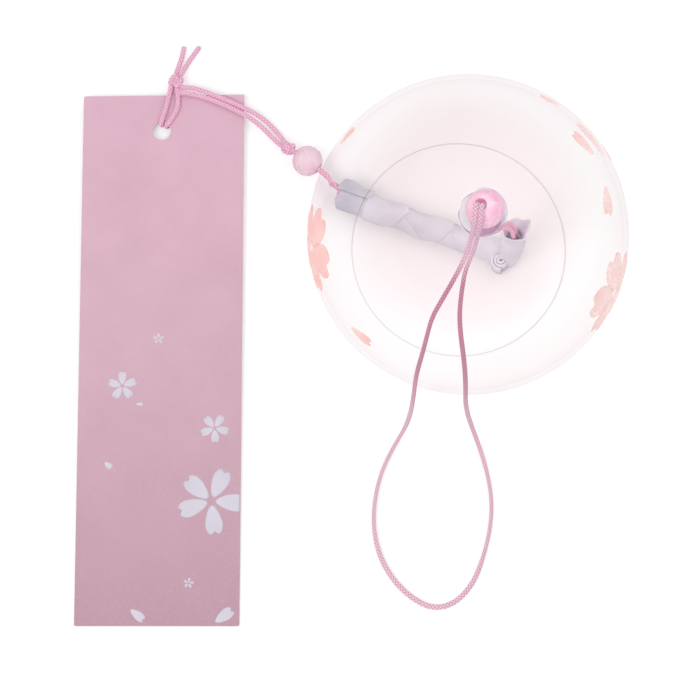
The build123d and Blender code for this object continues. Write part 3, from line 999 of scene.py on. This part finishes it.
def crackleMaterial(name, look):
    # glass crazed inside: cells by their distance to the nearest edge, with fine grain between
    material, shader, coords = newMaterial(name)
    cells = addNode(coords.id_data, "TexVoronoi", Vector=read(coords, "Object"), Scale=look["cells"])
    cells.feature = "DISTANCE_TO_EDGE"
    mottle, height = grainMarks(coords, *look["marks"])
    line = (1.0 - read(cells, "Distance") * 9.0).clamped()
    deep = (mottle * 2.2 - 0.65).clamped()
    facing = facingAngle(coords, look["facing"]) * look["rimShare"]
    body = facing.mix(deep.mix(look["glass"], look["deep"]), look["rim"])
    body = (line * look["crackShare"]).mix(body, look["crack"])
    paintedGlow = deep.mix(look["crack"], look["paintedGlow"])  # painted glow, pale in the pale glass and pink where it is deep
    setShader(shader, look, body, mottle, line * -0.5 + height, paintedGlow)
    return material


def makeBead(name, shape, body, node, material):
    # turned profile: sphere from bore to bore, rounded edges, straight bore back
    radius, hole, edge = shape["radius"], shape["hole"], shape["edge"]
    mouth = np.arcsin((hole + edge) / radius)
    angle = np.linspace(mouth, pi - mouth, 64)
    ball = joined(radius * np.sin(angle), radius * np.cos(angle))
    end = ball[0, 1]
    lipTop = bezier((hole, end - edge), (hole, end), (hole + edge * 0.3, end + 0.02), ball[0], 6)[:-1]
    lipLow = (lipTop * np.array([1.0, -1.0]))[::-1]
    bore = joined(hole, np.linspace(-end + edge, end - edge, 8))[1:]
    path = np.concatenate([lipTop, ball, lipLow, bore])
    turn = np.linspace(0.0, 2 * pi, 97)[None, :]
    out, height = path[:, :1], path[:, 1:]
    dents = 0.05 * np.sin(4 * turn + 2.1 * height) * np.sin(1.7 * height + 1.0)
    dents = dents + 0.035 * np.sin(9 * turn - 3.4 * height)
    out = out + dents * smooth(out, hole + 1.0, hole + 2.2)
    grid = roundIn(frameAlong(shape["centre"], shape["bore"]), out, turn, height)
    uv = joined(turn / (2 * pi), np.linspace(0, 1, len(path))[:, None])
    gridMesh(name, [(grid, uv)], body, material, (node,))


makeBead("crownBead", beadShape["top"], "top_bead", "top_bead", crackleMaterial("crackleGlass", beadLook))
makeBead("pendantBead", beadShape["lower"], "lower_bead", "lower_bead", crackleMaterial("paleCrackle", paleBeadLook))
print("beads bored")

# Clear washer under the crown and glass tube in the wrap keep their CAD shapes

washerLook = {
    **glassLook,
    "tint": color(238, 236, 240),
    "edge": color(206, 208, 216),
    "crownTintAndShade": color(228, 228, 234),
    "roughness": 0.08,
    "ior": 1.2,
}
tubeLook = {
    **glassLook,
    "tint": color(236, 242, 244),
    "edge": color(196, 214, 220),
    "crownTintAndShade": color(226, 236, 240),
    "roughness": 0.03,
    "ior": 1.5,
}
dress("crown_washer", glassMaterial("washerGlass", washerLook))
dress("clapper_tube", glassMaterial("tubeGlass", tubeLook))
print("washer and tube clear")

# Knots: overhand knots of the same braid, as closed trefoils drawn tight

knotCords = {
    1: {"wide": 1.5, "thick": 1.2, "narrow": 1.0, "shifts": (0.0,)},
    2: {"wide": 1.2, "thick": 0.95, "narrow": 0.62, "shifts": (-0.45, 0.45)},
}
knotPieces = {
    "stopperKnot": {
        "node": "stopper_knot", "body": "bell", "origin": (34.04, 23.22, 57.78),
        "axis": (0.112627, -0.057386, 0.991979), "radius": 2.9, "length": 4.2, "strands": 2,
    },
    "clapperKnot": {
        "node": "clapper_knot", "body": "clapper", "origin": (-1.82, 40.41, 3.3),
        "axis": (0.94, -0.34, 0.0), "radius": 2.1, "length": 3.0, "strands": 2,
    },
    "beadKnot": {
        "node": "bead_knot", "body": "pendant", "origin": (-16.0, 53.95, 3.1),
        "axis": (-0.69, 0.52, -0.5), "radius": 2.0, "length": 3.2, "strands": 1,
    },
    "cardKnot": {
        "node": "card_knot", "body": "pendant", "origin": (-45.5, 72.3, 2.2),
        "axis": (0.3, 0.95, 0.0), "radius": 2.15, "length": 3.2, "strands": 1,
    },
}


def knotSheet(knot, cord, shift):
    # trefoil: x = (sin t + 2 sin 2t)/3, y = (cos t - 2 cos 2t)/3, z = -sin 3t, scaled to the knot's radius and length
    wide, thick = cord["wide"] / 2, cord["thick"] / 2
    reach, rise = knot["radius"] - wide, knot["length"] / 2 - thick
    t, angle = np.linspace(0.0, 2 * pi, 241), np.linspace(0.0, 2 * pi, 19)
    x, y = (np.sin(t) + 2 * np.sin(2 * t)) / 3 * reach, (np.cos(t) - 2 * np.cos(2 * t)) / 3 * reach
    line = placeIn(frameAlong(knot["origin"], knot["axis"]), x, y, -np.sin(3 * t) * rise)
    tangent = unit(np.roll(line[:-1], -1, axis=0) - np.roll(line[:-1], 1, axis=0))
    tangent = np.concatenate([tangent, tangent[:1]])
    side = unit(np.cross(tangent, unit(line - np.array(knot["origin"]) * mm + 1e-9)))
    width, height = wide * cord["narrow"] * mm, thick * mm
    grid = ringsRound(line + side * shift * mm, side, np.cross(side, tangent), width, height, angle)
    return grid, joined(angle / (2 * pi), arcLength(line)[:, None])


for name, knot in knotPieces.items():
    cord = knotCords[knot["strands"]]
    sheets = [knotSheet(knot, cord, shift) for shift in cord["shifts"]]
    gridMesh(name, sheets, knot["body"], pinkBraid, (knot["node"],))
print("knots tied")

# Clapper wrap: thin lilac paper rolled round the glass tube, its right end turned up

wrapFrame = {
    "origin": (-2.9, 40.8, 3.3),
    "x": (0.3428, 0.9394, 0.0),
    "y": (0.0, 0.0, 1.0),
    "z": (0.9394, -0.3428, 0.0),
}
wrapShape = {
    "roll": (7.6, 44.2),
    "sleeve": (0.2, 12.0),
    "radii": [
        (0.0, 3.1), (7.6, 3.85), (12.0, 3.55), (17.0, 3.25), (24.0, 3.15),
        (33.0, 3.25), (38.0, 3.4), (42.0, 3.6), (44.0, 3.4), (46.0, 2.6),
    ],
    "sleeveRadius": 3.12,
    "inner": 2.8,
    "wall": 0.12,
    "edges": [(15.5, 3.2, 0.4), (21.5, -3.4, 0.34), (28.0, 3.0, 0.38), (33.5, -2.8, 0.32)],
    "ragged": (0.24, 0.07, 3.0),
    "step": 0.12,
}
uprightShape = {
    "levels": (0.4, 1.8, 4.0, 8.0, 12.0, 16.0, 19.0, 20.5),
    "x": (40.2, 40.4, 40.8, 41.2, 41.55, 41.9, 42.05, 42.1),
    "y": (24.0, 24.2, 24.6, 25.35, 26.2, 27.1, 27.7, 28.0),
    "wide": (1.4, 2.2, 2.7, 2.9, 2.95, 3.0, 3.1, 3.15),
    "deep": (1.6, 2.3, 2.7, 2.75, 2.75, 2.8, 2.85, 2.9),
    "corner": (32.0, 17.0, 1.35),
    "wall": 0.3,
    "throat": (42.2, 27.0, 16.6, 1.9),
}
spiralShape = {
    "centre": (38.6, 23.1),
    "bottom": 0.3,
    "top": 7.2,
    "turns": 2.6,
    "radii": (0.3, 2.3),
    "thickness": 0.62,
}
flapShape = {
    "run": (-0.6, 8.6),
    "across": (1.4, 3.1, 4.3, 5.0),
    "height": (6.35, 5.6, 4.7, 4.1),
    "thickness": 0.16,
    "points": 20,
}
wrapLook = {
    "paper": color(228, 230, 236),
    "shade": color(203, 203, 213),
    "blue": color(187, 184, 200),
    "blueShare": 0.85,
    "blueEdge": -0.0005,
    "blueFade": 220.0,
    "marks": (2200.0, 120.0),
    "roughness": (0.6, 0.25),
    "bump": (0.00007, 1.0),
    "inputs": {
        "Specular_IOR_Level": 0.35, "Emission_Strength": 0.07,
        "Subsurface_Weight": 0.45, "Subsurface_Radius": (1.0, 0.85, 0.9), "Subsurface_Scale": 0.0012,
    },
}


def paperMaterial(look):
    # clouded white paper, bluer at its open left end
    material, shader, coords = newMaterial("wrapPaper")
    mottle, height = grainMarks(coords, *look["marks"])
    left = (1.0 - (axes(coords, "Object")[0] - look["blueEdge"]) * look["blueFade"]).clamped()
    base = (mottle * 1.8 - 0.4).clamped().mix(look["paper"], look["shade"])
    paper = (left * look["blueShare"]).mix(base, look["blue"])
    setShader(shader, look, paper, mottle, height, paintedGlow=paper)  # painted glow of the paper in its own colour
    return material


def onTheTable(grid, rest=0.05):
    # nothing lower than the table: the paper is pressed flat there
    return np.concatenate([grid[..., :2], np.maximum(grid[..., 2:], rest * mm)], axis=-1)


def rollSheet(shape, span, outer, inner):
    # rings about the wrap's straight axis, outer wall out and inner wall back, with a ragged left edge
    run = np.arange(*span, shape["step"])[:, None]
    angle = np.linspace(0.0, 2 * pi, 97)[None, :]
    large, small, reach = shape["ragged"]
    ragged = large * np.sin(2 * angle + 0.5) + small * np.sin(5 * angle)
    along = run + ragged * (1 - smooth(run, span[0], span[0] + reach))
    outside = outer(run, angle)
    inside = np.minimum(inner, outside - shape["wall"])
    grid = folded(*(roundIn(wrapFrame, radius, angle, along) for radius in (outside, inside)))
    return onTheTable(grid), joined(angle / (2 * pi), folded(run, run) * mm)


def paperRoll(shape):
    places, sizes = zip(*shape["radii"])

    def rollRadius(run, angle):
        # radius along the roll, a little uneven, with a small drop past each slanting paper edge
        base = np.interp(run, places, sizes) + 0.07 * np.sin(2 * angle + 0.3 * run)
        base = base + 0.05 * np.sin(3 * angle - 0.7 * run)
        for place, slant, step in shape["edges"]:
            edge = place + slant * np.sin(angle + 0.6) + 0.22 * np.sin(5 * angle + place)
            base = base + step * smooth(run, edge - 7.0, edge) * (1 - smooth(run, edge, edge + 0.13)) - 0.05
        return base

    def sleeveRadius(run, angle):
        return shape["sleeveRadius"] + 0.08 * np.sin(2 * angle + 0.4 * run)

    roll = rollSheet(shape, shape["roll"], rollRadius, shape["inner"])
    return [roll, rollSheet(shape, shape["sleeve"], sleeveRadius, shape["inner"] + 0.05)]


def uprightSheet(shape):
    # rings level by level, squared on their right half and drawn out to a corner at the top
    rows, levels = np.linspace(0.0, 1.0, 90), shape["levels"]
    z = (levels[0] + (levels[-1] - levels[0]) * rows)[:, None]
    x, y, wide, deep = (np.interp(z, levels, shape[key]) for key in ("x", "y", "wide", "deep"))
    angle = np.linspace(-pi, pi, 121)[None, :]
    cosine, sine = np.cos(angle), np.sin(angle)
    right = smooth(cosine, -0.2, 0.6) * smooth(z, 4.0, 16.0)
    squared = np.sign(cosine) * np.abs(cosine) ** 0.55
    cornerAt, cornerWidth, cornerOut = shape["corner"]
    drawn = np.exp(-(((np.degrees(angle) - cornerAt) / cornerWidth) ** 2)) * cornerOut * smooth(z, 11.0, 20.5)
    drawn = drawn + (0.1 * np.sin(5 * angle + 0.35 * z) + 0.07 * np.sin(8 * angle - 0.5 * z))
    top = 0.35 * np.sin(2 * angle + 0.9) * smooth(z, 17.0, 20.5)
    throatX, throatY, throatZ, throatRadius = shape["throat"]
    sheets = []
    for inset in (0.0, shape["wall"]):
        narrow = (1 - smooth(z, throatZ, levels[-1])) * (1.0 if inset else 0.0)
        across = (wide - inset) * (cosine + (squared * 1.12 - cosine) * right) + drawn * cosine
        upright = (deep - inset) * sine + drawn * sine
        across = (x + across) * (1 - narrow) + (throatX + throatRadius * cosine) * narrow
        upright = (y + upright) * (1 - narrow) + (throatY + throatRadius * sine) * narrow
        sheets.append(joined(across, upright, z + top) * mm)
    return onTheTable(folded(*sheets)), joined(angle / (2 * pi), folded(rows, rows)[:, None] * 0.02)


def spiralSheet(shape):
    # Archimedean spiral r = a + b t with a thin wall, carried straight up and tucked in at its ends
    t = np.linspace(0.0, 1.0, 150)[:, None]
    (low, high), (x, y) = shape["radii"], shape["centre"]
    turn = 2 * pi * shape["turns"] * t + 1.0
    half, bottom, top = shape["thickness"] / 2, shape["bottom"], shape["top"]
    section = np.array([
        (-half, bottom), (half, bottom), (half, top - 0.1), (half * 0.5, top),
        (-half * 0.5, top), (-half, top - 0.1), (-half, bottom),
    ])[None]
    radius = low + (high - low) * t + section[..., 0]
    height = section[..., 1] - 0.9 * t * (section[..., 1] > 1.0)
    grid = joined(x + radius * np.cos(turn), y + radius * np.sin(turn), height) * mm
    uv = joined(np.linspace(0, 1, 7)[None, :], withEnds(t, 0.0, 1.0) * 0.03)
    return withEnds(grid, grid[0].mean(axis=0), grid[-1].mean(axis=0)), uv


def flapSheet(shape):
    # loose corner of paper beside the mouth: a bent strip with a thin wall, its ends half drawn in
    count, run = shape["points"], np.linspace(*shape["run"], 50)[:, None]
    t, steps = np.linspace(0.0, 1.0, count), np.linspace(0.0, 1.0, 4)
    share = folded(t, t)[None, :]
    face = folded(np.ones(count), -np.ones(count))[None, :] * shape["thickness"] / 2
    across = np.interp(share, steps, shape["across"]) + (0.25 * np.sin(0.9 * run) - 0.1 * run) * share
    height = np.interp(share, steps, shape["height"]) + 0.2 * np.sin(0.7 * run + 1.0) * share + face
    slide = run + 0.8 * share * (1 - run / 8.0)
    grid = placeIn(wrapFrame, across, height - wrapFrame["origin"][2], slide)
    first, last = (((row[:count] + row[count:-1][::-1]) / 2).mean(axis=0) for row in (grid[0], grid[-1]))
    grid = np.concatenate([(grid[:1] + first) / 2, grid, (grid[-1:] + last) / 2])
    return grid, joined(share, np.linspace(0.0, 0.01, len(grid))[:, None])


sheets = paperRoll(wrapShape) + [uprightSheet(uprightShape), spiralSheet(spiralShape), flapSheet(flapShape)]
gridMesh("paperWrap", sheets, "clapper", paperMaterial(wrapLook), ("clapper_wrap",))
print("wrap rolled")
